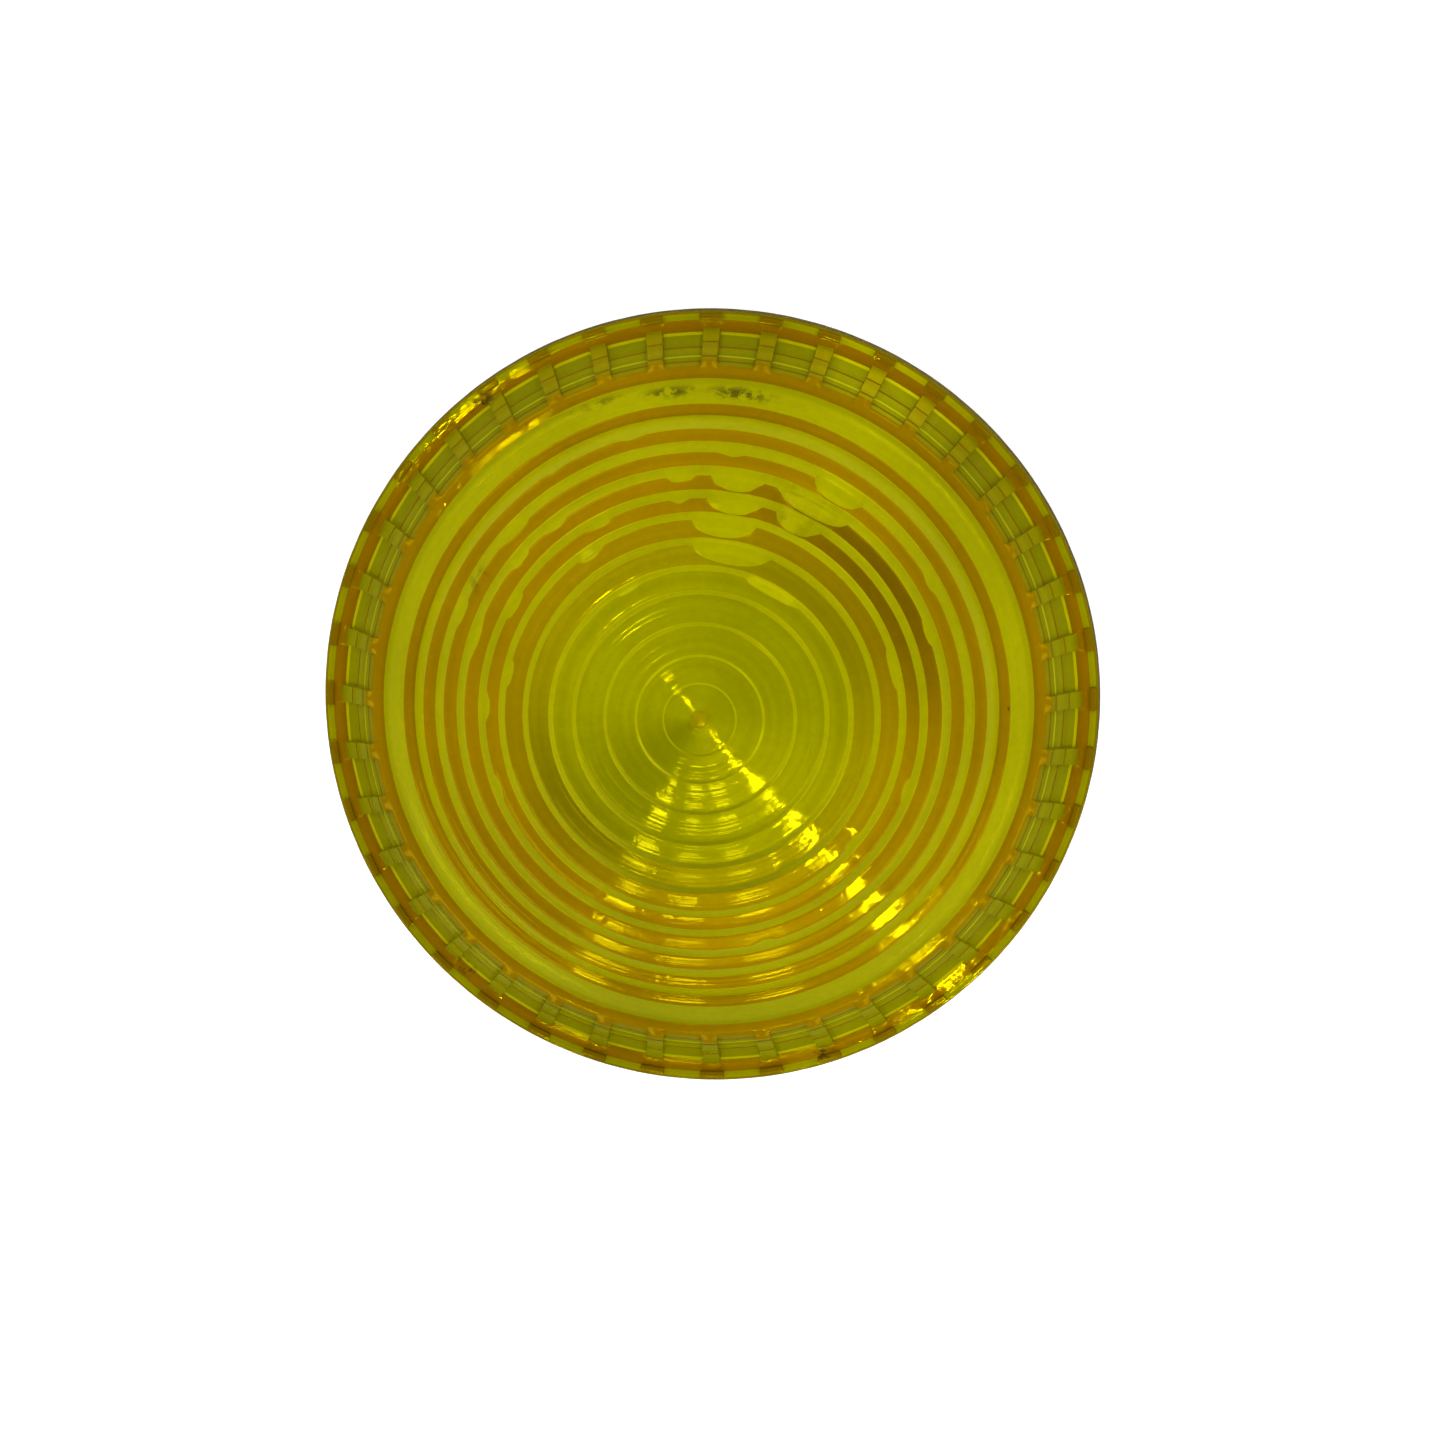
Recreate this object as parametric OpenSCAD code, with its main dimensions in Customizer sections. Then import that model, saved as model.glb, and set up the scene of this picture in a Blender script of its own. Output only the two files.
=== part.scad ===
// Round raised pavement marker: a stepped yellow lens screws onto a base that holds LEDs and two cells.
// Origin at the centre of the underside, +Z up, millimetres.

/* [Lens] */
// Diameter over the lens lip
lens_d = 100; // [99:1:104]
// Height of the lens above its lip's underside
lens_h = 25; // [23.5:0.5:28]
// Height of the shoulder above the lip's underside, as a share of the lens height
shoulder_share = 0.28; // [0.24:0.01:0.3]
// Radii of the feet of the lens's steps, from the outermost inwards
step_r = [41.9, 37.6, 34.7, 31.8, 28.9, 26.2, 23, 19.6, 16.5, 12.4, 8.3, 4.7];
// Width of the plain sloping band outside the steps
band_w = 2.8; // [2.2:0.1:3.2]
// Width of a step's riser as a share of its radius
riser_share = 0.034; // [0.02:0.002:0.04]
// Number of grip ribs round the flank
rib_count = 40; // [24:1:48]
// Width of one grip rib
rib_w = 2; // [1.2:0.1:2.6]
// Width of the foot block under each rib
foot_w = 2.9; // [1.8:0.1:3.4]

/* [Lens thread] */
// Rise of the lens in one full turn
thread_lead = 8; // [6:0.5:9]
// Number of thread starts
thread_starts = 4; // [3:1:4]
// Arc of one thread ridge, in degrees
thread_arc = 70; // [50:5:76]

/* [Base] */
// Thickness of the rubber pad under the base
pad_t = 2; // [1.5:0.1:2.8]
// Height of the base housing's wall
base_h = 8; // [7.6:0.1:9]
// Thickness of the base housing's floor
floor_t = 2.5; // [2:0.1:2.6]
// Distance between the mounting inserts along X
mount_x = 42; // [41:0.5:43]
// Distance between the mounting inserts along Y
mount_y = 50; // [49:0.5:50.5]

/* [Electronics] */
// Number of light emitters on the board
led_count = 6; // [3:3:6]
// Radius of the circle of light emitters
led_circle_r = 19; // [18:0.5:19]
// Radius of the circuit board
board_r = 29; // [28:0.5:29]
// Travel of the switch slider
switch_travel = 2; // [1:0.5:2]

/* [Hidden] */
$fn = 96;
eps = 0.01;

// Levels up the stack
base_z = pad_t;
floor_z = base_z + floor_t;
base_top_z = base_z + base_h;
gasket_t = 1.1;
seat_gap = 0.05;
rim_z = base_top_z + gasket_t + 2 * seat_gap;
board_t = 1.6;
board_z = 20.8;
board_top_z = board_z + board_t;

// Lens
lens_r = lens_d / 2;
lip_t = 1.2;
lip_edge_w = 0.3;
lip_top_z = rim_z + lip_t;
drip_w = 1;
drip_h = 2.2;
flank_foot_r = 46.9;
flank_top_r = 43.4;
shoulder_z = rim_z + shoulder_share * lens_h;
apex_z = rim_z + lens_h;
dome_a = 43.5;
dome_share = 0.95;
last_step = len(step_r) - 1;
gate_r = 1;
gate_h = 0.3;
rib_h = 0.9;
foot_h = 0.5;
foot_in_r = 48.8;

// Inside of the lens, and the opal cover under it
dome_points = 28;
spigot_in_r = 39.8;
spigot_out_r = 42.1;
spigot_drop = 6.2;
spigot_z = rim_z - spigot_drop;
spring_line_z = rim_z + 0.5;
lens_in_h = lens_h - 3.3;
cover_out_r = spigot_in_r - 0.6;
cover_t = 1.5;
cover_in_r = cover_out_r - cover_t;
cover_out_h = lens_in_h - 0.8;
cover_in_h = cover_out_h - cover_t;

// Thread ridges: those on the lens and those in the base lie on helices half a pitch apart
thread_pitch = thread_lead / thread_starts;
ridge_t = 0.7;
ridge_h = 0.9;
ridge_root = 0.4;
lens_thread_z = spigot_z + 1.3;
base_thread_z = lens_thread_z + thread_pitch / 2;
collar_r = spigot_out_r + 1.2;

// Base
base_r = 48.4;
edge_c = 0.8;
pad_r = 46.5;
gasket_in_r = 44;
gasket_out_r = 48;
ring_out_r = cover_in_r - 0.1;
ring_t = 1.2;
ring_h = 2.5;
insert_r = 3.2;
insert_hole_r = 2.1;
insert_l = 7;
boss_r = 4.5;
boss_top_z = base_z + 9;
pad_hole_r = 3.6;
post_r = 3;
post_x = 8;
post_y = 24;
screw_r = 1.25;
screw_l = 8;
head_r = 2.2;
head_h = 1.2;

// Cells and their tray
cell_r = 7.1;
cell_l = 49;
nub_r = 2.7;
nub_l = 1.2;
cell_y = 7.5;
tray_floor = 1.2;
tray_wall = 1.2;
tray_in_l = 56;
tray_l = tray_in_l + 2 * tray_wall;
trough_r = cell_r + 0.2;
tray_w = 2 * (cell_y + trough_r + tray_wall);
tray_h = 9.5;
cell_z = floor_z + tray_floor + cell_r;
plate_t = 0.4;
plate_w = 10;
plate_h = 10;
plate_x = tray_in_l / 2 - plate_t;
tab_w = 3;
tray_ear_y = tray_w / 2 + 2.4;
tray_ear_r = 3;
tray_ear_h = 2;

// Contact springs
wire_r = 0.4;
coil_r = 3.2;
coil_turns = 4;
coil_steps = 14;
wire_sides = 6;
coil_x0 = plate_x - (tray_in_l - 2 * plate_t - cell_l - nub_l) + wire_r;
coil_x1 = plate_x - wire_r;

// Parts on the board
led_w = 3.5;
led_h = 1;
led_dome_r = 1.4;
chip = [5, 4, 1.5];
chip_pos = [0, 8];
sensor_r = 2.5;
sensor_h = 2;
cap_r = 3.15;
cap_h = 5.4;
cap_pos = [9, -5];
switch_size = [9, 4.4, 3.4];
switch_pos = [0, -18];
slot_depth = 1.6;
slider_l = 2.4;
slider_w = 1.4;
slider_h = 2.8;
slide_gap = 0.1;

// Height of the stepped dome at radius r
function dome_z(r) =
    rim_z + lens_h * (1 - dome_share * (1 - sqrt(1 - pow(r / dome_a, 2))));
// Height of the flat tread just inside step k
function tread_z(k) =
    k == last_step ? apex_z : dome_z((step_r[k] + step_r[k + 1]) / 2);
// Width of step k's riser
function riser_w(k) = k == 0 ? band_w : riser_share * step_r[k];
// Half an ellipse's rim, from its edge to its top
function arch(a, h) =
    [for (i = [0:dome_points]) let(t = 90 * i / dome_points) [a * cos(t), spring_line_z + h * sin(t)]];
// The same points from the top to the edge
function arch_down(a, h) =
    [for (i = [dome_points:-1:0]) let(t = 90 * i / dome_points) [a * cos(t), spring_line_z + h * sin(t)]];

// ---- shared shapes ----

// Places its children at the four corners of a rectangle
module at_corners(dx, dy) {
    for (sx = [-1, 1], sy = [-1, 1])
        translate([sx * dx / 2, sy * dy / 2, 0])
            children();
}

// Ridges of a multi-start thread: short arcs of ring, each tilted to the thread's slope
module thread_ridges(root_r, crest_r, mid_z) {
    tilt = atan(thread_lead / (2 * PI * spigot_out_r));
    out = crest_r > root_r ? 1 : -1;
    for (i = [0:thread_starts - 1])
        rotate(i * 360 / thread_starts)
            translate([0, 0, mid_z])
                rotate([tilt, 0, 0])
                    rotate([0, 0, -thread_arc / 2])
                        rotate_extrude(angle = thread_arc)
                            polygon([
                                [root_r - out * ridge_root, -ridge_t / 2 - 0.1],
                                [crest_r, -ridge_t / 2 + 0.1],
                                [crest_r, ridge_t / 2 - 0.1],
                                [root_r - out * ridge_root, ridge_t / 2 + 0.1]
                            ]);
}

// A screw with a domed head, its head's underside at z = 0
module pan_screw(length) {
    cylinder(r = head_r, h = head_h * 0.6);
    translate([0, 0, head_h * 0.6])
        cylinder(r1 = head_r, r2 = head_r * 0.7, h = head_h * 0.4);
    translate([0, 0, -length])
        cylinder(r = screw_r, h = length + eps);
}

// ---- lens and seals ----

// Outline of the lens on one side of its axis
module lens_profile() {
    steps = [for (k = [0:last_step], top = [0, 1])
        top == 0 ? [step_r[k], k == 0 ? shoulder_z : tread_z(k - 1)]
                 : [step_r[k] - riser_w(k), tread_z(k)]];
    polygon(concat(
        [[spigot_in_r, spigot_z], [spigot_out_r, spigot_z], [spigot_out_r, rim_z]],
        [[lens_r - drip_w, rim_z], [lens_r - drip_w, rim_z - drip_h]],
        [[lens_r - lip_edge_w, rim_z - drip_h], [lens_r, rim_z - drip_h + lip_edge_w]],
        [[lens_r, lip_top_z - lip_edge_w], [lens_r - lip_edge_w, lip_top_z]],
        [[flank_foot_r + 0.4, lip_top_z], [flank_foot_r, lip_top_z + 0.4]],
        [[flank_top_r + 0.2, shoulder_z - 0.3], [flank_top_r - 0.1, shoulder_z]],
        steps,
        [[0, apex_z]],
        arch_down(spigot_in_r, lens_in_h)));
}

// The flank grown outwards by a rib's height, for the ribs to be cut from
module rib_band() {
    rotate_extrude()
        polygon([
            [flank_top_r - 1, shoulder_z - 2],
            [flank_top_r - 0.6, shoulder_z - 0.1],
            [flank_top_r + 0.3, shoulder_z - 0.1],
            [flank_foot_r + rib_h * 0.5, lip_top_z + 0.9],
            [flank_foot_r + rib_h, lip_top_z - 0.3],
            [flank_foot_r - 2, lip_top_z - 0.3]
        ]);
}

// The narrow ring that the foot blocks are cut from
module foot_band() {
    translate([0, 0, lip_top_z - foot_h])
        difference() {
            cylinder(r = lens_r - lip_edge_w, h = 2 * foot_h);
            translate([0, 0, -eps])
                cylinder(r = foot_in_r, h = 2 * foot_h + 2 * eps);
        }
}

// Radial bars, one for each rib
module rib_bars(width) {
    for (i = [0:rib_count - 1])
        rotate(i * 360 / rib_count)
            translate([flank_top_r - 3, -width / 2, 0])
                cube([lens_r, width, apex_z]);
}

module lens() {
    color("#b8ae08")
        union() {
            rotate_extrude()
                lens_profile();
            intersection() {
                rib_band();
                rib_bars(rib_w);
            }
            intersection() {
                foot_band();
                rib_bars(foot_w);
            }
            thread_ridges(spigot_out_r, spigot_out_r + ridge_h, lens_thread_z);
            translate([0, 0, apex_z - eps])
                cylinder(r = gate_r, h = gate_h + eps);
        }
}

module lens_gasket() {
    color("#d8d8d4")
        translate([0, 0, base_top_z + seat_gap])
            difference() {
                cylinder(r = gasket_out_r, h = gasket_t);
                translate([0, 0, -eps])
                    cylinder(r = gasket_in_r, h = gasket_t + 2 * eps);
            }
}

module diffuser() {
    color("white")
        rotate_extrude()
            polygon(concat(
                [[cover_in_r, floor_z], [cover_out_r, floor_z]],
                arch(cover_out_r, cover_out_h),
                arch_down(cover_in_r, cover_in_h)));
}

// ---- base ----

module base_pad() {
    color("#303030")
        difference() {
            cylinder(r = pad_r, h = pad_t);
            translate([0, 0, -eps])
                at_corners(mount_x, mount_y)
                    cylinder(r = pad_hole_r, h = pad_t + 2 * eps);
        }
}

// Wall, floor and collar of the housing
module base_shell() {
    rotate_extrude()
        polygon([
            [0, base_z], [base_r - edge_c, base_z], [base_r, base_z + edge_c],
            [base_r, base_top_z - edge_c], [base_r - edge_c, base_top_z],
            [collar_r + 0.3, base_top_z], [collar_r, base_top_z - 0.3],
            [collar_r, floor_z], [0, floor_z]
        ]);
    thread_ridges(collar_r, collar_r - ridge_h, base_thread_z);
}

module base_housing() {
    color("#e6e6e2")
        difference() {
            union() {
                base_shell();
                translate([0, 0, floor_z - eps])
                    difference() {
                        cylinder(r = ring_out_r, h = ring_h);
                        translate([0, 0, -eps])
                            cylinder(r = ring_out_r - ring_t, h = ring_h + 2 * eps);
                    }
                translate([0, 0, floor_z - eps]) {
                    at_corners(mount_x, mount_y)
                        cylinder(r = boss_r, h = boss_top_z - floor_z);
                    at_corners(2 * post_x, 2 * post_y)
                        cylinder(r = post_r, h = board_z - floor_z + eps);
                }
            }
            translate([0, 0, base_z - eps])
                at_corners(mount_x, mount_y)
                    cylinder(r = insert_r, h = insert_l + eps);
            translate([0, 0, board_z - screw_l])
                at_corners(2 * post_x, 2 * post_y)
                    cylinder(r = screw_r, h = screw_l + 1);
            for (s = [-1, 1])
                translate([0, s * tray_ear_y, floor_z - 1.6])
                    cylinder(r = screw_r, h = 3);
        }
}

module mount_inserts() {
    color("#b5932f")
        translate([0, 0, base_z])
            at_corners(mount_x, mount_y)
                difference() {
                    cylinder(r = insert_r, h = insert_l);
                    translate([0, 0, -eps])
                        cylinder(r = insert_hole_r, h = insert_l + 2 * eps);
                }
}

// ---- battery ----

module battery_tray() {
    color("#26282a")
        difference() {
            union() {
                translate([-tray_l / 2, -tray_w / 2, floor_z])
                    cube([tray_l, tray_w, tray_h]);
                for (s = [-1, 1])
                    translate([0, s * tray_ear_y, floor_z]) {
                        cylinder(r = tray_ear_r, h = tray_ear_h);
                        translate([-tray_ear_r, s < 0 ? 0 : -tray_ear_r, 0])
                            cube([2 * tray_ear_r, tray_ear_r, tray_ear_h]);
                    }
            }
            for (s = [-1, 1]) {
                translate([-tray_in_l / 2, s * cell_y, cell_z])
                    rotate([0, 90, 0])
                        cylinder(r = trough_r, h = tray_in_l);
                translate([-tray_in_l / 2, s * cell_y - trough_r, cell_z])
                    cube([tray_in_l, 2 * trough_r, tray_h]);
                translate([0, s * tray_ear_y, floor_z - eps])
                    cylinder(r = screw_r, h = tray_ear_h + 2 * eps);
            }
            translate([plate_x, -cell_y - plate_w / 2, cell_z - plate_h / 2])
                cube([plate_t, 2 * cell_y + plate_w, tray_h]);
        }
}

// One cell, along X, its button end towards -X
module cell() {
    color("#3c6e4a")
        translate([nub_l - plate_x, 0, cell_z])
            rotate([0, 90, 0])
                cylinder(r = cell_r, h = cell_l);
    color("#c8c8c8")
        translate([-plate_x, 0, cell_z])
            rotate([0, 90, 0])
                cylinder(r = nub_r, h = nub_l + eps);
}

module cell_front() {
    translate([0, cell_y, 0])
        cell();
}

module cell_rear() {
    translate([0, -cell_y, 0])
        rotate([0, 0, 180])
            cell();
}

// Wire of one contact spring, swept round the X axis as a ring of points at each step
module contact_spring() {
    steps = coil_turns * coil_steps;
    points = [for (i = [0:steps], j = [0:wire_sides - 1])
        let(a = 360 * i / coil_steps, b = 360 * j / wire_sides, r = coil_r + wire_r * cos(b))
            [coil_x0 + (coil_x1 - coil_x0) * i / steps + wire_r * sin(b), r * cos(a), r * sin(a)]];
    sides = [for (i = [0:steps - 1], j = [0:wire_sides - 1])
        let(a = i * wire_sides, n = (j + 1) % wire_sides)
            [a + j, a + n, a + wire_sides + n, a + wire_sides + j]];
    start = [for (j = [wire_sides - 1:-1:0]) j];
    end = [for (j = [0:wire_sides - 1]) steps * wire_sides + j];
    color("#c4c8cc")
        translate([0, 0, cell_z])
            polyhedron(points, concat(sides, [start, end]));
}

module spring_front() {
    translate([0, cell_y, 0])
        contact_spring();
}

module spring_rear() {
    translate([0, -cell_y, 0])
        rotate([0, 0, 180])
            contact_spring();
}

// Plate at the +X end, which joins the two cells
module link_plate() {
    color("#c4c8cc")
        translate([plate_x, -cell_y - plate_w / 2, cell_z - plate_h / 2])
            cube([plate_t, 2 * cell_y + plate_w, plate_h]);
}

// Plate at the -X end with a tab up to the board
module terminal(y) {
    color("#c4c8cc")
        translate([-plate_x - plate_t, 0, 0]) {
            translate([0, y - plate_w / 2, cell_z - plate_h / 2])
                cube([plate_t, plate_w, plate_h]);
            translate([0, y - tab_w / 2, cell_z + plate_h / 2 - eps])
                cube([plate_t, tab_w, board_z - cell_z - plate_h / 2 + eps]);
        }
}

module terminal_plus() {
    terminal(cell_y);
}

module terminal_minus() {
    terminal(-cell_y);
}

module tray_screws() {
    color("silver")
        for (s = [-1, 1])
            translate([0, s * tray_ear_y, floor_z + tray_ear_h])
                pan_screw(tray_ear_h + 1.5);
}

// ---- board ----

module led_board() {
    color("#f2f2ee")
        translate([0, 0, board_z])
            difference() {
                cylinder(r = board_r, h = board_t);
                translate([0, 0, -eps])
                    at_corners(2 * post_x, 2 * post_y)
                        cylinder(r = screw_r + 0.15, h = board_t + 2 * eps);
            }
}

module led(i) {
    a = 360 * (i - 1) / led_count;
    rotate(a)
        translate([led_circle_r, 0, board_top_z]) {
            color("#f4f4f0")
                translate([-led_w / 2, -led_w / 2, 0])
                    cube([led_w, led_w, led_h]);
            color("#f0c820")
                translate([0, 0, led_h - eps])
                    cylinder(r1 = led_dome_r, r2 = led_dome_r * 0.5, h = 0.6);
        }
}

module control_chip() {
    color("#202022")
        translate([chip_pos[0] - chip[0] / 2, chip_pos[1] - chip[1] / 2, board_top_z])
            cube(chip);
}

module light_sensor() {
    color("#3a3a40")
        translate([0, 0, board_top_z]) {
            cylinder(r = sensor_r, h = sensor_h);
            translate([0, 0, sensor_h - eps])
                cylinder(r1 = sensor_r, r2 = sensor_r * 0.6, h = 0.8);
        }
}

module capacitor() {
    color("#9aa0a6")
        translate([cap_pos[0], cap_pos[1], board_top_z])
            cylinder(r = cap_r, h = cap_h);
}

module switch_body() {
    slot_l = slider_l + switch_travel + 2 * slide_gap;
    color("#2a2a2c")
        translate([switch_pos[0], switch_pos[1], board_top_z])
            difference() {
                translate([-switch_size[0] / 2, -switch_size[1] / 2, 0])
                    cube(switch_size);
                translate([-slider_l / 2 - slide_gap, -slider_w / 2 - slide_gap, switch_size[2] - slot_depth])
                    cube([slot_l, slider_w + 2 * slide_gap, slot_depth + 1]);
            }
}

module switch_slider() {
    color("#e0e0e0")
        translate([switch_pos[0], switch_pos[1], board_top_z + switch_size[2] - slot_depth + slide_gap])
            translate([-slider_l / 2, -slider_w / 2, 0])
                cube([slider_l, slider_w, slider_h]);
}

module board_screws() {
    color("silver")
        translate([0, 0, board_top_z])
            at_corners(2 * post_x, 2 * post_y)
                pan_screw(screw_l);
}

base_pad();
base_housing();
mount_inserts();
lens_gasket();
lens();
diffuser();
battery_tray();
cell_front();
cell_rear();
spring_front();
spring_rear();
link_plate();
terminal_plus();
terminal_minus();
tray_screws();
led_board();
for (i = [1:led_count])
    led(i);
control_chip();
light_sensor();
capacitor();
switch_body();
switch_slider();
board_screws();
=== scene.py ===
import math

import bmesh
import bpy
from mathutils import Matrix, Quaternion, Vector


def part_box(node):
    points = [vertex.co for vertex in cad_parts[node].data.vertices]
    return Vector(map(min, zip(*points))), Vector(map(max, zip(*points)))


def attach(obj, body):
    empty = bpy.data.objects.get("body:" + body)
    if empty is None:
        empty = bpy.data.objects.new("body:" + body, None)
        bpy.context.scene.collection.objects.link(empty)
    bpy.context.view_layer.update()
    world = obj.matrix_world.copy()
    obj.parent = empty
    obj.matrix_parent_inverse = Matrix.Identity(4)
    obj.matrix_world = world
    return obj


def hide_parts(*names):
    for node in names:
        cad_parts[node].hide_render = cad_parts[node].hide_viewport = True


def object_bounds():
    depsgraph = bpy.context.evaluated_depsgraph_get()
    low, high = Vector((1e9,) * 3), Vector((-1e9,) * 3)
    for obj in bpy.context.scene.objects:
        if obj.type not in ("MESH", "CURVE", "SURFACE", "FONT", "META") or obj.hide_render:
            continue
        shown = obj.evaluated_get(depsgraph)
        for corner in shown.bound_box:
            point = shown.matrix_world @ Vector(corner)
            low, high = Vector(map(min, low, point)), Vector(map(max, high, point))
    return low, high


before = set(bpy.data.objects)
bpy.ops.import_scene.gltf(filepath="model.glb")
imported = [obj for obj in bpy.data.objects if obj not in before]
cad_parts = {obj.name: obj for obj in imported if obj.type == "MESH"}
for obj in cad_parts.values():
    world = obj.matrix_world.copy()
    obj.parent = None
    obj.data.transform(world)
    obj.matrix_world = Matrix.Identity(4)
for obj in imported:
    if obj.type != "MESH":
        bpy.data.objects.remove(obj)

cad_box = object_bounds()
MM = 0.001

# ---------------------------------------------------------------- camera

lens_low, lens_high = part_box("lens")
lip_radius = (lens_high.x - lens_low.x) / 2
gasket_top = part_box("lens_gasket")[1].z
RIM_Z = gasket_top / MM + 0.05          # underside of the lens lip, in mm
LIP_R = lip_radius / MM
LENS_H = 25.0
SPIGOT_Z = lens_low.z / MM


def make_camera():
    """A long lens high above the marker, leaning a few degrees off its axis."""
    distance = 5.0
    tilt = math.radians(8.36)
    lean = Vector((0.45, 0.893))
    frame_share = 0.2683                # lip radius as a share of the picture's width
    aim = Vector((0.0013, -0.0036, RIM_Z * MM))
    data = bpy.data.cameras.new("camera")
    data.sensor_width = 36
    data.lens = 36 * frame_share * distance / lip_radius
    data.clip_start, data.clip_end = 0.05, 20
    camera = bpy.data.objects.new("camera", data)
    flat = lean * math.sin(tilt)
    back = Vector((flat.x, flat.y, math.cos(tilt)))
    up = Vector((0, 1, 0))
    right = up.cross(back).normalized()
    up = back.cross(right)
    bpy.context.scene.collection.objects.link(camera)
    place = aim + back * distance
    camera.matrix_world = Matrix((
        (right.x, up.x, back.x, place.x),
        (right.y, up.y, back.y, place.y),
        (right.z, up.z, back.z, place.z),
        (0, 0, 0, 1),
    ))
    bpy.context.scene.camera = camera


# ---------------------------------------------------------------- materials

class Shader:
    """A material's node tree, with short calls to add and join nodes."""

    def __init__(self, name):
        self.material = bpy.data.materials.new(name)
        self.material.use_nodes = True
        self.nodes = self.material.node_tree.nodes
        self.links = self.material.node_tree.links
        self.bsdf = self.nodes["Principled BSDF"]
        self.coords = self.nodes.new("ShaderNodeTexCoord").outputs["Object"]

    def set(self, **values):
        for key, value in values.items():
            self.bsdf.inputs[key.replace("_", " ")].default_value = value
        return self

    def join(self, source, target):
        self.links.new(source, target)

    def noise(self, scale, detail=2.0, roughness=0.5, stretch=None):
        node = self.nodes.new("ShaderNodeTexNoise")
        node.inputs["Scale"].default_value = scale
        node.inputs["Detail"].default_value = detail
        node.inputs["Roughness"].default_value = roughness
        if stretch is None:
            self.join(self.coords, node.inputs["Vector"])
        else:
            mapping = self.nodes.new("ShaderNodeMapping")
            mapping.inputs["Scale"].default_value = stretch
            self.join(self.coords, mapping.inputs["Vector"])
            self.join(mapping.outputs["Vector"], node.inputs["Vector"])
        return node.outputs["Fac"]

    def grooves(self, scale):
        """Fine rings about the Z axis, as left by the turning of a mould."""
        flat = self.nodes.new("ShaderNodeMapping")
        flat.inputs["Scale"].default_value = (1, 1, 0)
        self.join(self.coords, flat.inputs["Vector"])
        radius = self.nodes.new("ShaderNodeVectorMath")
        radius.operation = "LENGTH"
        self.join(flat.outputs["Vector"], radius.inputs[0])
        node = self.nodes.new("ShaderNodeTexNoise")
        node.noise_dimensions = "1D"
        node.inputs["Scale"].default_value = scale
        self.join(radius.outputs["Value"], node.inputs["W"])
        return node.outputs["Fac"]

    def ramp(self, source, *stops):
        node = self.nodes.new("ShaderNodeValToRGB")
        elements = node.color_ramp.elements
        while len(elements) < len(stops):
            elements.new(0.5)
        for element, (position, colour) in zip(elements, stops):
            element.position = position
            element.color = (*colour, 1)
        self.join(source, node.inputs["Fac"])
        return node.outputs["Color"]

    def fit(self, source, low, high, to_low=0.0, to_high=1.0):
        node = self.nodes.new("ShaderNodeMapRange")
        node.inputs["From Min"].default_value = low
        node.inputs["From Max"].default_value = high
        node.inputs["To Min"].default_value = to_low
        node.inputs["To Max"].default_value = to_high
        self.join(source, node.inputs["Value"])
        return node.outputs["Result"]

    def spot(self, radius, degrees, across, along, strength):
        """The strength in the middle of an oval spot at this radius and angle, 0 outside it."""
        a = math.radians(degrees)
        mapping = self.nodes.new("ShaderNodeMapping")
        mapping.vector_type = "TEXTURE"
        mapping.inputs["Location"].default_value = (
            radius * MM * math.cos(a), radius * MM * math.sin(a), 0
        )
        mapping.inputs["Rotation"].default_value = (0, 0, a)
        mapping.inputs["Scale"].default_value = (across * MM, along * MM, 100)
        self.join(self.coords, mapping.inputs["Vector"])
        length = self.nodes.new("ShaderNodeVectorMath")
        length.operation = "LENGTH"
        self.join(mapping.outputs["Vector"], length.inputs[0])
        return self.fit(length.outputs["Value"], 0.3, 1.0, strength, 0.0)

    def attribute(self, name):
        node = self.nodes.new("ShaderNodeAttribute")
        node.attribute_name = name
        return node

    def math(self, operation, a, b):
        node = self.nodes.new("ShaderNodeMath")
        node.operation = operation
        for socket, value in zip(node.inputs, (a, b)):
            if isinstance(value, (int, float)):
                socket.default_value = value
            else:
                self.join(value, socket)
        return node.outputs["Value"]

    def mix(self, amount, a, b, blend="MIX"):
        node = self.nodes.new("ShaderNodeMix")
        node.data_type = "RGBA"
        node.blend_type = blend
        if isinstance(amount, (int, float)):
            node.inputs["Factor"].default_value = amount
        else:
            self.join(amount, node.inputs["Factor"])
        for socket, value in ((node.inputs[6], a), (node.inputs[7], b)):
            if isinstance(value, tuple):
                socket.default_value = (*value, 1)
            else:
                self.join(value, socket)
        return node.outputs[2]

    def bump(self, height, strength, distance):
        node = self.nodes.new("ShaderNodeBump")
        node.inputs["Strength"].default_value = strength
        node.inputs["Distance"].default_value = distance
        self.join(height, node.inputs["Height"])
        self.join(node.outputs["Normal"], self.bsdf.inputs["Normal"])

    def colour(self, source):
        self.join(source, self.bsdf.inputs["Base Color"])

    def rough(self, source):
        self.join(source, self.bsdf.inputs["Roughness"])


# Dirt on the lens: radius in mm and angle, half width and half length in mm, strength
SMUDGES = (
    (48.2, 128, 1.4, 2.4, 0.9), (40.4, 84, 1.1, 5.5, 0.8), (40.6, 97, 0.9, 4.5, 0.8),
    (47.6, 228, 1.4, 2.4, 0.8), (48.6, 287, 1.2, 2.2, 0.9), (41.2, 110, 0.6, 5, 0.5),
    (38.9, 0, 0.22, 0.45, 1.0), (38.2, -33, 0.2, 0.35, 1.0), (33.5, 150, 1.5, 3, 0.4),
)


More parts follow.
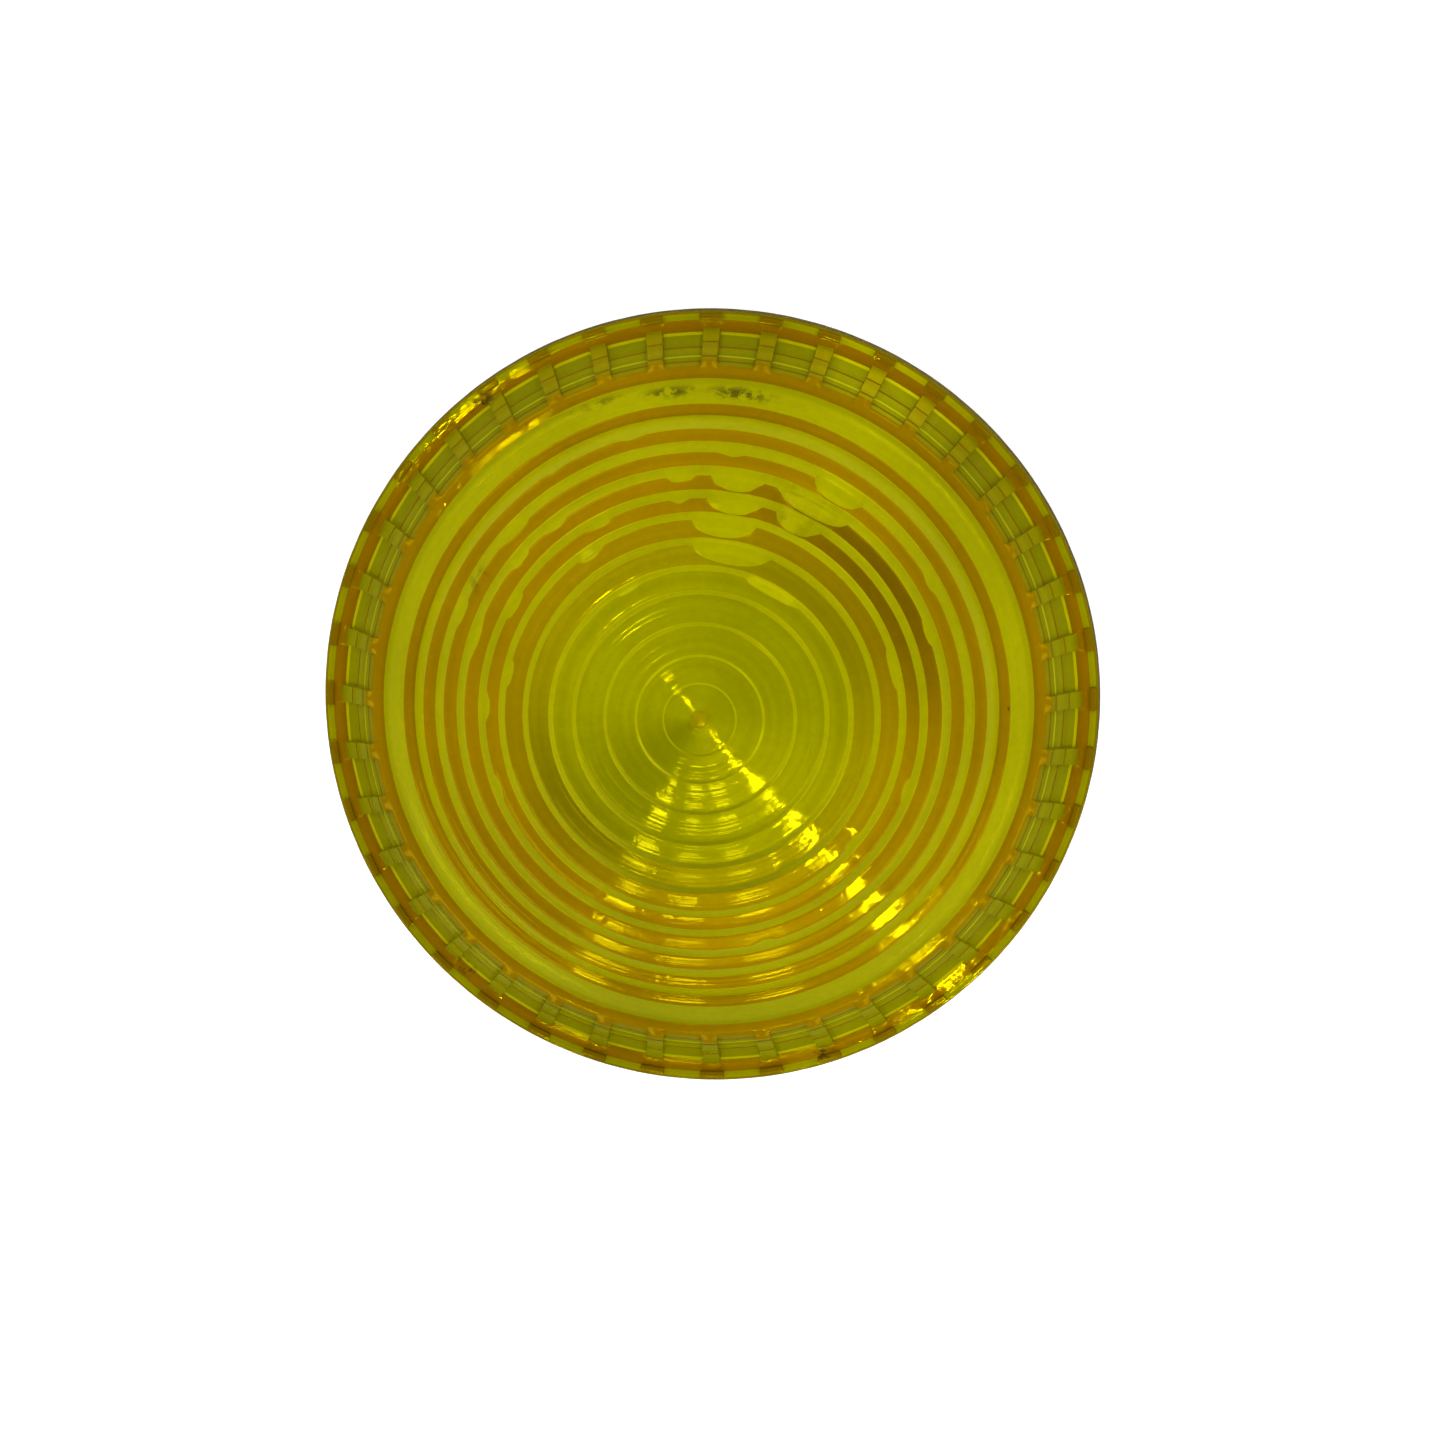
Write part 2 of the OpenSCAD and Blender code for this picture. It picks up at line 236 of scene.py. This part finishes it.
def lens_material():
    """Yellow transparent plastic; the mesh carries the colours of its risers, treads and rim, partly
    the plastic's own and partly painted light and shade.
    """
    s = Shader("lens_yellow").set(
        IOR=1.45, Transmission_Weight=0.5,
        Specular_IOR_Level=0.2, Specular_Tint=(1, 0.86, 0.0, 1),
    )
    tint = s.attribute("tint").outputs["Color"]
    cloud = s.fit(s.noise(45, 3), 0.3, 0.7, 0.9, 1.08)
    fine = s.fit(s.noise(900, 4, 0.8), 0.35, 0.65, 0.95, 1.05)
    turned = s.fit(s.grooves(800), 0.3, 0.7, 0.94, 1.06)
    shade = s.math("MULTIPLY", s.math("MULTIPLY", cloud, fine), turned)
    grey = s.nodes.new("ShaderNodeCombineColor")
    for channel in ("Red", "Green", "Blue"):
        s.join(shade, grey.inputs[channel])
    body = s.mix(1.0, tint, grey.outputs["Color"], "MULTIPLY")
    grain = s.fit(s.noise(700, 4, 0.7), 0.47, 0.56)
    soil = None
    for smudge in SMUDGES:
        spot = s.spot(*smudge)
        soil = spot if soil is None else s.math("MAXIMUM", soil, spot)
    s.colour(s.mix(s.math("MULTIPLY", soil, grain), body, (0.06, 0.045, 0.005)))
    s.rough(s.fit(s.noise(120, 4, 0.7), 0.45, 0.7, 0.03, 0.12))
    ripple = s.math("MULTIPLY", s.noise(240, 3), 0.35)
    s.bump(s.math("ADD", ripple, s.math("MULTIPLY", s.grooves(900), 0.65)), 0.4, 0.0003)
    return s.material


def plastic(name, colour, roughness, grain=1500, strength=0.15, spread=0.06):
    """Moulded plastic: slight colour drift, a fine grain and handling marks in its gloss."""
    s = Shader(name).set(IOR=1.49)
    light = tuple(min(1, c * (1 + spread)) for c in colour)
    dark = tuple(c * (1 - spread) for c in colour)
    s.colour(s.ramp(s.noise(60, 4), (0.3, dark), (0.7, light)))
    s.rough(s.fit(s.noise(180, 4, 0.6), 0.3, 0.7, roughness * 0.8, min(1, roughness * 1.25)))
    s.bump(s.noise(grain, 2), strength, 0.00005)
    return s.material


def metal(name, colour, roughness, stretch=(1, 1, 1)):
    """Plated metal with faint drawn lines."""
    s = Shader(name).set(Metallic=1.0)
    lines = s.noise(900, 3, stretch=stretch)
    s.colour(s.ramp(lines, (0.3, tuple(c * 0.85 for c in colour)), (0.7, colour)))
    s.rough(s.fit(lines, 0.3, 0.7, roughness * 0.7, roughness * 1.3))
    s.bump(lines, 0.1, 0.00004)
    return s.material


# ---------------------------------------------------------------- mesh making

def arc_corner(before, corner, after, radius, count):
    """Points that round one corner of an outline with an arc-like curve."""
    corner = Vector(corner)
    a = Vector(before) - corner
    b = Vector(after) - corner
    start = corner + a.normalized() * min(radius, a.length * 0.45)
    end = corner + b.normalized() * min(radius, b.length * 0.45)
    made = []
    for i in range(count):
        t = i / (count - 1)
        made.append(tuple(start * (1 - t) ** 2 + corner * 2 * t * (1 - t) + end * t ** 2))
    return made


def rounded(outline):
    """Corners (r, z, radius, zone) turned into points and the zone of the strip after each."""
    points, zones = [], []
    last = len(outline) - 1
    for i, (r, z, radius, zone) in enumerate(outline):
        if i in (0, last) or radius is None:
            points.append((r, z))
            zones.append(zone)
            continue
        before, after = outline[i - 1], outline[i + 1]
        arc = arc_corner(before[:2], (r, z), after[:2], radius, 4 if radius > 0.15 else 3)
        points += arc
        zones += [before[3]] + [zone] * (len(arc) - 1)
    return points, zones


def link(name, mesh):
    piece = bpy.data.objects.new(name, mesh)
    bpy.context.scene.collection.objects.link(piece)
    return piece


def smooth(piece, angle):
    """Smooth shading that stays crisp over edges sharper than the angle."""
    mesh = piece.data
    mesh.shade_smooth()
    mesh.update()
    limit = math.radians(angle)
    work = bmesh.new()
    work.from_mesh(mesh)
    for edge in work.edges:
        if len(edge.link_faces) == 2 and edge.calc_face_angle(0) > limit:
            edge.smooth = False
    work.to_mesh(mesh)
    work.free()


# ---------------------------------------------------------------- lens

STEP_R = (41.9, 37.6, 34.7, 31.8, 28.9, 26.2, 23, 19.6, 16.5, 12.4, 8.3, 4.7)
BAND_W = 2.8
RISER_SHARE = 0.034
SHOULDER_Z = RIM_Z + 0.28 * LENS_H
LIP_TOP = RIM_Z + 1.2
APEX_Z = RIM_Z + LENS_H
DOME_A, DOME_SHARE = 43.5, 0.95
FLANK_FOOT_R, FLANK_TOP_R = 46.9, 43.4
RIB_COUNT, RIB_W, RIB_H = 40, 2.0, 0.8
FOOT_W, FOOT_H, FOOT_IN_R = 2.9, 0.5, 48.8
SPIGOT_IN_R, SPIGOT_OUT_R = 39.8, 42.1
INNER_H = LENS_H - 3.3
THREAD_LEAD, THREAD_STARTS, THREAD_ARC, RIDGE_H = 8.0, 4, 70.0, 0.9
THREAD_Z = SPIGOT_Z + 1.3
TREAD_SLOPE = 0.07
GATE_R = 1.15
# Fine lines round the flank: height as a share of the flank's, and how they are tinted
FLANK_LINES = ((0.38, "line"), (0.66, "dash"), (0.82, "line"))


def dome_z(r):
    return RIM_Z + LENS_H * (1 - DOME_SHARE * (1 - math.sqrt(1 - (r / DOME_A) ** 2)))


def tread_z(k):
    if k == len(STEP_R) - 1:
        return APEX_Z
    return dome_z((STEP_R[k] + STEP_R[k + 1]) / 2)


def riser_w(k):
    return BAND_W if k == 0 else RISER_SHARE * STEP_R[k]


# Scallops in the top edges of the steps: step, middle and half width in degrees, depth in mm
SCALLOPS = (
    (2, 58.7, 6, 1.8), (3, 95.5, 3.4, 0.8), (3, 82, 6, 1.85), (3, 62, 9, 1.85),
    (4, 95.7, 2.3, 0.6), (4, 81.7, 7, 1.85), (4, 64, 6, 1.85), (5, 83.5, 9.5, 2.2),
    (6, 80, 13, 2.3), (7, 61, 11, 0.9), (2, 84, 2.5, 0.4), (2, 136, 4, 0.5),
    (4, 118, 3, 0.6), (3, 128, 3, 0.5), (3, 140, 3, 0.6), (5, 125, 4, 0.7),
    (2, 158, 3, 0.4), (3, 162, 4, 0.5), (4, 150, 4, 0.6), (4, 178, 4, 0.6),
    (5, 168, 4, 0.5), (2, 30, 2, 0.4), (3, 20, 3, 0.4), (1, 105, 2, 0.3),
    (5, 14, 6, 0.5), (6, -60, 4, 0.5), (5, -40, 3, 0.4), (4, -20, 3, 0.5),
    (3, -75, 3, 0.4), (7, 120, 5, 0.4), (1, 122, 1.5, 0.3), (4, 200, 3, 0.4),
)


def scallop(k, degrees):
    """How far step k's top edge is eaten inwards at this angle."""
    depth = 0.0
    for step, middle, half, deep in SCALLOPS:
        off = (degrees - middle + 180) % 360 - 180
        if step == k and abs(off) < half:
            depth = max(depth, deep * math.sqrt(1 - (off / half) ** 2))
    return depth


def ridge_height(degrees):
    """(height factor, rise in mm) of the thread ridge at this angle."""
    pitch = 360 / THREAD_STARTS
    end_arc = 4                         # a ridge rises to its height over this many degrees
    off = (degrees + pitch / 2) % pitch - pitch / 2
    fade = (THREAD_ARC / 2 - abs(off)) / end_arc
    return max(0.0, min(1.0, fade)), THREAD_LEAD * off / 360


def lens_outline(degrees, rib, foot):
    """The lens's outline at one angle, from its spigot out, over the dome and back inside."""
    high, rise = ridge_height(degrees)
    ridge_r, ridge_z = SPIGOT_OUT_R + RIDGE_H * high, THREAD_Z + rise
    edge = LIP_R - 0.3
    up = RIB_H * rib
    block = "foot" if foot else "gap"
    bar = "bar" if rib else "flank"
    out = [
        (SPIGOT_IN_R, SPIGOT_Z, None, "rim"),
        (SPIGOT_OUT_R, SPIGOT_Z, 0.4, "rim"),
        (SPIGOT_OUT_R, ridge_z - 0.45, 0.05, "rim"),
        (ridge_r, ridge_z - 0.25, 0.1, "rim"),
        (ridge_r, ridge_z + 0.25, 0.1, "rim"),
        (SPIGOT_OUT_R, ridge_z + 0.45, 0.05, "rim"),
        (SPIGOT_OUT_R, RIM_Z, 0.1, "rim"),
        (LIP_R - 1, RIM_Z, 0.2, "rim"),
        (LIP_R - 1, RIM_Z - 2.2, 0.2, "edge"),
        (LIP_R, RIM_Z - 2.2, 0.45, "edge"),
        (LIP_R, LIP_TOP, 0.35, "edge"),
        (edge - 0.02, LIP_TOP, 0.02, block),
        (edge - 0.08, LIP_TOP + FOOT_H * foot, 0.12, block),
        (FOOT_IN_R + 0.06, LIP_TOP + FOOT_H * foot, 0.12, "ledge"),
        (FOOT_IN_R, LIP_TOP, 0.02, "ledge"),
        (FLANK_FOOT_R + 0.4 + up * 0.6, LIP_TOP, 0.1, "bar" if rib else "dash"),
        (FLANK_FOOT_R + up * 0.8, LIP_TOP + 0.4 + up * 0.3, 0.3, bar),
    ]
    for share, zone in FLANK_LINES:
        z = LIP_TOP + share * (SHOULDER_Z - LIP_TOP)
        r = FLANK_FOOT_R + share * (FLANK_TOP_R - FLANK_FOOT_R) + up * 0.85
        out.append((r + 0.1, z - 0.15, 0.03, zone if zone == "line" or not rib else "bar"))
        out.append((r - 0.05, z + 0.15, 0.03, bar))
    out += [
        (FLANK_TOP_R + 0.2 + up * 0.9, SHOULDER_Z - 0.3, 0.2, "shoulder"),
        (FLANK_TOP_R - 0.1, SHOULDER_Z, 0.25, "shoulder"),
    ]
    steps = len(STEP_R)
    for k, foot_r in enumerate(STEP_R):
        below = SHOULDER_Z if k == 0 else tread_z(k - 1)
        inner_r = STEP_R[k + 1] if k < steps - 1 else 0
        drop = TREAD_SLOPE * (foot_r - riser_w(k) - inner_r) / 2
        lift = TREAD_SLOPE * (STEP_R[k - 1] - riser_w(k - 1) - foot_r) / 2 if k else 0
        out.append((foot_r, below + lift, 0.22, f"riser_{k}"))
        top = foot_r - riser_w(k) - scallop(k, degrees)
        out.append((top, tread_z(k) - drop, 0.25, f"tread_{k}"))
    # The apex disc is a low cone: two rows near its ends keep its shading even
    for r in (top - 0.4, GATE_R + 0.4):
        z = APEX_Z - drop * (r - GATE_R) / (top - GATE_R)
        out.append((r, z, None, f"tread_{steps - 1}"))
    out += [
        (GATE_R, APEX_Z, 0.1, "gate"),
        (GATE_R - 0.2, APEX_Z + 0.28, 0.12, "gate"),
        (0.02, APEX_Z + 0.3, None, "inner"),
    ]
    count = 24
    for i in range(count, -1, -1):
        t = math.radians(90 * i / count)
        r = max(0.02, SPIGOT_IN_R * math.cos(t))
        out.append((r, RIM_Z + 0.5 + INNER_H * math.sin(t), None, "inner"))
    return rounded(out)


def lens_columns():
    """(angle, rib, foot) of every column of the lens's mesh."""
    rib_mid_r, foot_mid_r = 45.2, 49.3
    rib_slope, foot_slope = 0.18, 0.14  # degrees that their sides lean over
    rib_half = math.degrees(RIB_W / 2 / rib_mid_r)
    foot_half = math.degrees(FOOT_W / 2 / foot_mid_r)
    pitch = 360 / RIB_COUNT
    pattern = [(0, 1, 1), (3, 0, 0), (-3, 0, 0)]
    for side in (-1, 1):
        pattern += [
            (side * rib_half, 1, 1), (side * (rib_half + rib_slope), 0, 1),
            (side * foot_half, 0, 1), (side * (foot_half + foot_slope), 0, 0),
        ]
    pattern.sort()
    return [
        (i * pitch + off, rib, foot) for i in range(RIB_COUNT) for off, rib, foot in pattern
    ]


# Colours of the lens's kinds of face. The plastic is one yellow; how these differ is painted light
# and shade, standing in for how light passes through and off each face, with painted shade on the
# ribs' sides.
TINTS = {
    "inner": (0.85, 0.80, 0.0),
    "rim": (0.55, 0.44, 0.0),
    "edge": (0.26, 0.19, 0.0),
    "foot": (0.26, 0.15, 0.0),
    "gap": (0.38, 0.36, 0.0),
    "ledge": (0.32, 0.16, 0.0),
    "dash": (0.60, 0.58, 0.0),
    "bar": (0.36, 0.30, 0.0),
    "side": (0.28, 0.22, 0.0),
    "flank": (0.31, 0.30, 0.0),
    "line": (0.27, 0.15, 0.0),
    "shoulder": (0.37, 0.21, 0.0),
    "gate": (0.36, 0.30, 0.0),
}
# Painted light as well: bright risers, and treads olive inside and orange outside, stand in for light
# through the one yellow plastic.
BRIGHT, ORANGE, OLIVE = (0.48, 0.465, 0.0), (0.385, 0.22, 0.0), (0.36, 0.355, 0.0)
OLIVE_R, ORANGE_R = 18, 30              # treads inside the first are olive, outside the second orange

# Sectors where other strips change their colour, middle and half width in degrees: painted shade on
# risers at the lobes and in the lit sector, where the ribs keep their painted colours, a painted
# sparkle on the flank, and painted shade over the whole lens on its shaded side
SHADED_AT_LOBES, LIT, RIBS_SEEN = (62, 13), (278, 65), (80, 100)
SPARKLING, SHADED_SIDE = (60, 18), (225, 70)
# Darker stretches of the treads: first and last tread, middle and half width in degrees, amount
SHADOWS = (
    (3, 4, 40, 62, 0.5), (5, 6, 40, 62, 0.25), (7, 11, 30, 70, 0.13),
    (5, 6, 205, 60, 0.2), (6, 11, 215, 52, 0.22),
)


def blend(a, b, t):
    t = max(0.0, min(1.0, t))
    t = t * t * (3 - 2 * t)
    return tuple(x + (y - x) * t for x, y in zip(a, b))


def scaled(colour, factor):
    return tuple(c * factor for c in colour)


def around(degrees, middle, half):
    """1 in the middle of a sector, falling smoothly to 0 at its ends."""
    off = abs((degrees - middle + 180) % 360 - 180) / half
    return 0.0 if off >= 1 else (1 - off * off) ** 2


def tint_of(zone, degrees):
    """Colour of a strip of the lens, partly painted light: green-yellow risers, orange outer and
    olive inner treads, with painted shade and sparkle by sector.
    """
    kind, _, number = zone.partition("_")
    if kind == "riser":
        k = int(number)
        # Painted shade: risers 3 and 4 darker at the lobes, and risers darker in the lit sector, more
        # so past step 5.
        lobe_shade = around(degrees, *SHADED_AT_LOBES) if k in (3, 4) else 0
        low = around(degrees, *LIT) * (1.4 if k > 5 else 0.5)
        shade = scaled(BRIGHT, 1 - 0.3 * max(lobe_shade, low))
    elif kind == "tread":
        k = int(number)
        shade = blend(OLIVE, ORANGE, (STEP_R[k] - OLIVE_R) / (ORANGE_R - OLIVE_R))
        for first, last, middle, half, amount in SHADOWS:
            if first <= k <= last:
                shade = scaled(shade, 1 - amount * around(degrees, middle, half))
    else:
        shade = TINTS[kind]
        # Painted shade: the ribs' painted colours, with painted shade on their sides, show only in
        # this sector; elsewhere they take the flank's colour.
        if kind in ("bar", "side"):
            shade = blend(shade, TINTS["flank"], 1 - around(degrees, *RIBS_SEEN))
        # Painted highlight: flank, ribs, dashes and gaps brighter in the sparkling sector.
        if kind in ("flank", "bar", "dash", "gap"):
            shade = scaled(shade, 1 + 0.4 * around(degrees, *SPARKLING))
    # Painted shade: the whole lens darker on its shaded side.
    return scaled(shade, 1 - 0.12 * around(degrees, *SHADED_SIDE))


def make_lens():
    columns = lens_columns()
    outlines = [lens_outline(*column) for column in columns]
    rows = len(outlines[0][0])
    points = []
    for (degrees, _, _), (outline, _) in zip(columns, outlines):
        a = math.radians(degrees)
        for r, z in outline:
            points.append((r * math.cos(a) * MM, r * math.sin(a) * MM, z * MM))
    faces, colours = [], []
    n = len(columns)
    for c in range(n):
        here, there = c * rows, (c + 1) % n * rows
        degrees, zones = columns[c][0], outlines[c][1]
        beside = outlines[(c + 1) % n][1]
        for i in range(rows):
            j = (i + 1) % rows
            faces.append((here + i, there + i, there + j, here + j))
            zone = "side" if "bar" in (zones[i], beside[i]) and zones[i] != beside[i] else zones[i]
            colours += [*tint_of(zone, degrees), 1.0]
    mesh = bpy.data.meshes.new("lens")
    mesh.from_pydata(points, [], faces)
    tint = mesh.attributes.new("tint", "FLOAT_COLOR", "FACE")
    tint.data.foreach_set("color", colours)
    mesh.materials.append(lens_material())
    piece = link("stepped_lens", mesh)
    smooth(piece, 50)
    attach(piece, "lens_cap")
    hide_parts("lens")


# ---------------------------------------------------------------- carried-over CAD nodes

def dress_nodes():
    looks = {
        "base_pad": plastic("rubber_black", (0.03, 0.03, 0.032), 0.75, 900, 0.4, 0.2),
        "base_housing": plastic("housing_white", (0.42, 0.42, 0.405), 0.32),
        "mount_inserts": metal("brass_insert", (0.72, 0.52, 0.2), 0.25, (1, 1, 12)),
        "lens_gasket": plastic("gasket_grey", (0.3, 0.3, 0.29), 0.55),
        "diffuser": plastic("opal_white", (0.86, 0.86, 0.84), 0.5, spread=0.02),
        "battery_tray": plastic("tray_black", (0.02, 0.022, 0.024), 0.5),
    }
    cell = plastic("cell_jacket", (0.05, 0.2, 0.09), 0.25)
    contact = metal("contact_steel", (0.7, 0.71, 0.73), 0.25, (8, 1, 1))
    screw = metal("screw_steel", (0.62, 0.63, 0.65), 0.3)
    chip = plastic("chip_black", (0.015, 0.015, 0.016), 0.45)
    looks |= {
        "cell_front": cell, "cell_rear": cell, "spring_front": contact, "spring_rear": contact,
        "link_plate": contact, "terminal_plus": contact, "terminal_minus": contact,
        "tray_screws": screw, "board_screws": screw, "control_chip": chip, "switch_body": chip,
        "led_board": plastic("board_white", (0.8, 0.81, 0.78), 0.3),
        "light_sensor": plastic("sensor_dark", (0.05, 0.05, 0.06), 0.12),
        "capacitor": metal("capacitor_can", (0.7, 0.71, 0.73), 0.3),
        "switch_slider": plastic("slider_pale", (0.75, 0.75, 0.74), 0.4),
    }
    led = plastic("led_package", (0.85, 0.75, 0.3), 0.25)
    for name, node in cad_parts.items():
        material = led if name.startswith("led_") and name != "led_board" else looks.get(name)
        if material is None:
            continue
        node.data.materials.clear()
        node.data.materials.append(material)


# ---------------------------------------------------------------- studio

# Small lamps that the lens mirrors: name, x, y, size, watts, width (None for a disc), turn
LAMPS = (
    ("key", 0.142, -0.403, 0.3, 1.6, 0.018, -66),
    ("sheen", 0.02, -0.425, 0.24, 0.28, None, 0),
    ("glow", -0.03, -0.425, 0.38, 0.2, None, 0),
    ("patch_left", -0.206, -0.46, 0.04, 0.6, 0.14, 0),
    ("patch_low", -0.106, -0.485, 0.05, 0.4, 0.1, 7),
    ("patch_middle", 0.003, -0.476, 0.05, 0.4, 0.08, 14),
    ("patch_right", 0.18, -0.45, 0.1, 0.35, 0.04, -40),
    ("spark", -0.141, -0.063, 0.05, 0.25, 0.012, 11),
    ("key_inner", 0.0, -0.245, 0.05, 0.18, 0.012, -50),
    ("side_glow", 0.21, -0.315, 0.22, 0.16, None, 0),
)
LAMP_Z, LAMP_AIM = 1.15, (0, 0, 0.03)


def area_light(name, place, aim, size, power, width=None, turn=0.0):
    """A disc lamp, or a rectangle size x width turned by this many degrees about its axis."""
    data = bpy.data.lights.new(name, "AREA")
    data.shape = "DISK" if width is None else "RECTANGLE"
    data.size = size
    if width is not None:
        data.size_y = width
    data.energy = power
    light = bpy.data.objects.new(name, data)
    light.location = place
    light.rotation_mode = "QUATERNION"
    face = (Vector(aim) - Vector(place)).to_track_quat("-Z", "Y")
    light.rotation_quaternion = face @ Quaternion((0, 0, 1), math.radians(turn))
    bpy.context.scene.collection.objects.link(light)


def floor_material():
    """White and faintly glowing; dark to mirror-like faces, and clear from below."""
    s = Shader("floor_white").set(Roughness=0.9, Emission_Color=(1, 1, 1, 1))
    white = s.ramp(s.noise(3, 2), (0.3, (0.9, 0.9, 0.9)), (0.7, (0.94, 0.94, 0.94)))
    mirrored = s.nodes.new("ShaderNodeLightPath").outputs["Is Glossy Ray"]
    s.colour(s.mix(mirrored, white, (0.05, 0.05, 0.05)))
    s.join(s.fit(mirrored, 0, 1, 0.3, 0), s.bsdf.inputs["Emission Strength"])
    behind = s.nodes.new("ShaderNodeNewGeometry").outputs["Backfacing"]
    clear = s.nodes.new("ShaderNodeBsdfTransparent").outputs["BSDF"]
    shown = s.nodes.new("ShaderNodeMixShader")
    s.join(behind, shown.inputs["Fac"])
    s.join(s.bsdf.outputs["BSDF"], shown.inputs[1])
    s.join(clear, shown.inputs[2])
    s.join(shown.outputs["Shader"], s.nodes["Material Output"].inputs["Surface"])
    return s.material


def make_floor():
    """A wide ring round the pad, open in the middle so that the underside can be seen."""
    count = 96
    inner, outer = 0.95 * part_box("base_pad")[1].x, 8.0
    turn = [2 * math.pi * i / count for i in range(count)]
    corners = [(r * math.cos(a), r * math.sin(a), 0) for r in (inner, outer) for a in turn]
    rings = [(i, count + i, count + (i + 1) % count, (i + 1) % count) for i in range(count)]
    mesh = bpy.data.meshes.new("floor")
    mesh.from_pydata(corners, [], rings)
    mesh.materials.append(floor_material())
    floor = link("floor", mesh)
    floor.location.z = cad_box[0].z


def make_world():
    """White sky, dark overhead; mirror-like faces see it darker still, as behind black flags."""
    world = bpy.data.worlds.new("studio")
    world.use_nodes = True
    nodes, links = world.node_tree.nodes, world.node_tree.links
    direction = nodes.new("ShaderNodeTexCoord").outputs["Generated"]
    split = nodes.new("ShaderNodeSeparateXYZ")
    links.new(direction, split.inputs["Vector"])
    fade = nodes.new("ShaderNodeMapRange")
    fade.interpolation_type = "SMOOTHSTEP"
    for key, value in (("From Min", 0.55), ("From Max", 0.85), ("To Min", 0.9), ("To Max", 0.02)):
        fade.inputs[key].default_value = value
    links.new(split.outputs["Z"], fade.inputs["Value"])
    flag = nodes.new("ShaderNodeMapRange")
    flag.inputs["To Min"].default_value = 1.0
    flag.inputs["To Max"].default_value = 0.12
    links.new(nodes.new("ShaderNodeLightPath").outputs["Is Glossy Ray"], flag.inputs["Value"])
    dim = nodes.new("ShaderNodeMath")
    dim.operation = "MULTIPLY"
    links.new(fade.outputs["Result"], dim.inputs[0])
    links.new(flag.outputs["Result"], dim.inputs[1])
    links.new(dim.outputs["Value"], nodes["Background"].inputs["Strength"])
    nodes["Background"].inputs["Color"].default_value = (1, 1, 1, 1)
    bpy.context.scene.world = world


def make_lamps():
    """The small lamps of the table, then four large soft ones that light the marker."""
    for name, x, y, size, power, width, turn in LAMPS:
        area_light(name, (x, y, LAMP_Z), LAMP_AIM, size, power, width, turn)
    soft_size, soft_power = 0.8, 6.5
    for i in range(4):
        a = math.radians(45 + 90 * i)
        area_light(f"soft_{i}", (math.cos(a), math.sin(a), 1.0), (0, 0, 0), soft_size, soft_power)


make_camera()
make_lens()
dress_nodes()
make_floor()
make_world()
make_lamps()
bpy.context.scene.view_settings.view_transform = "Standard"
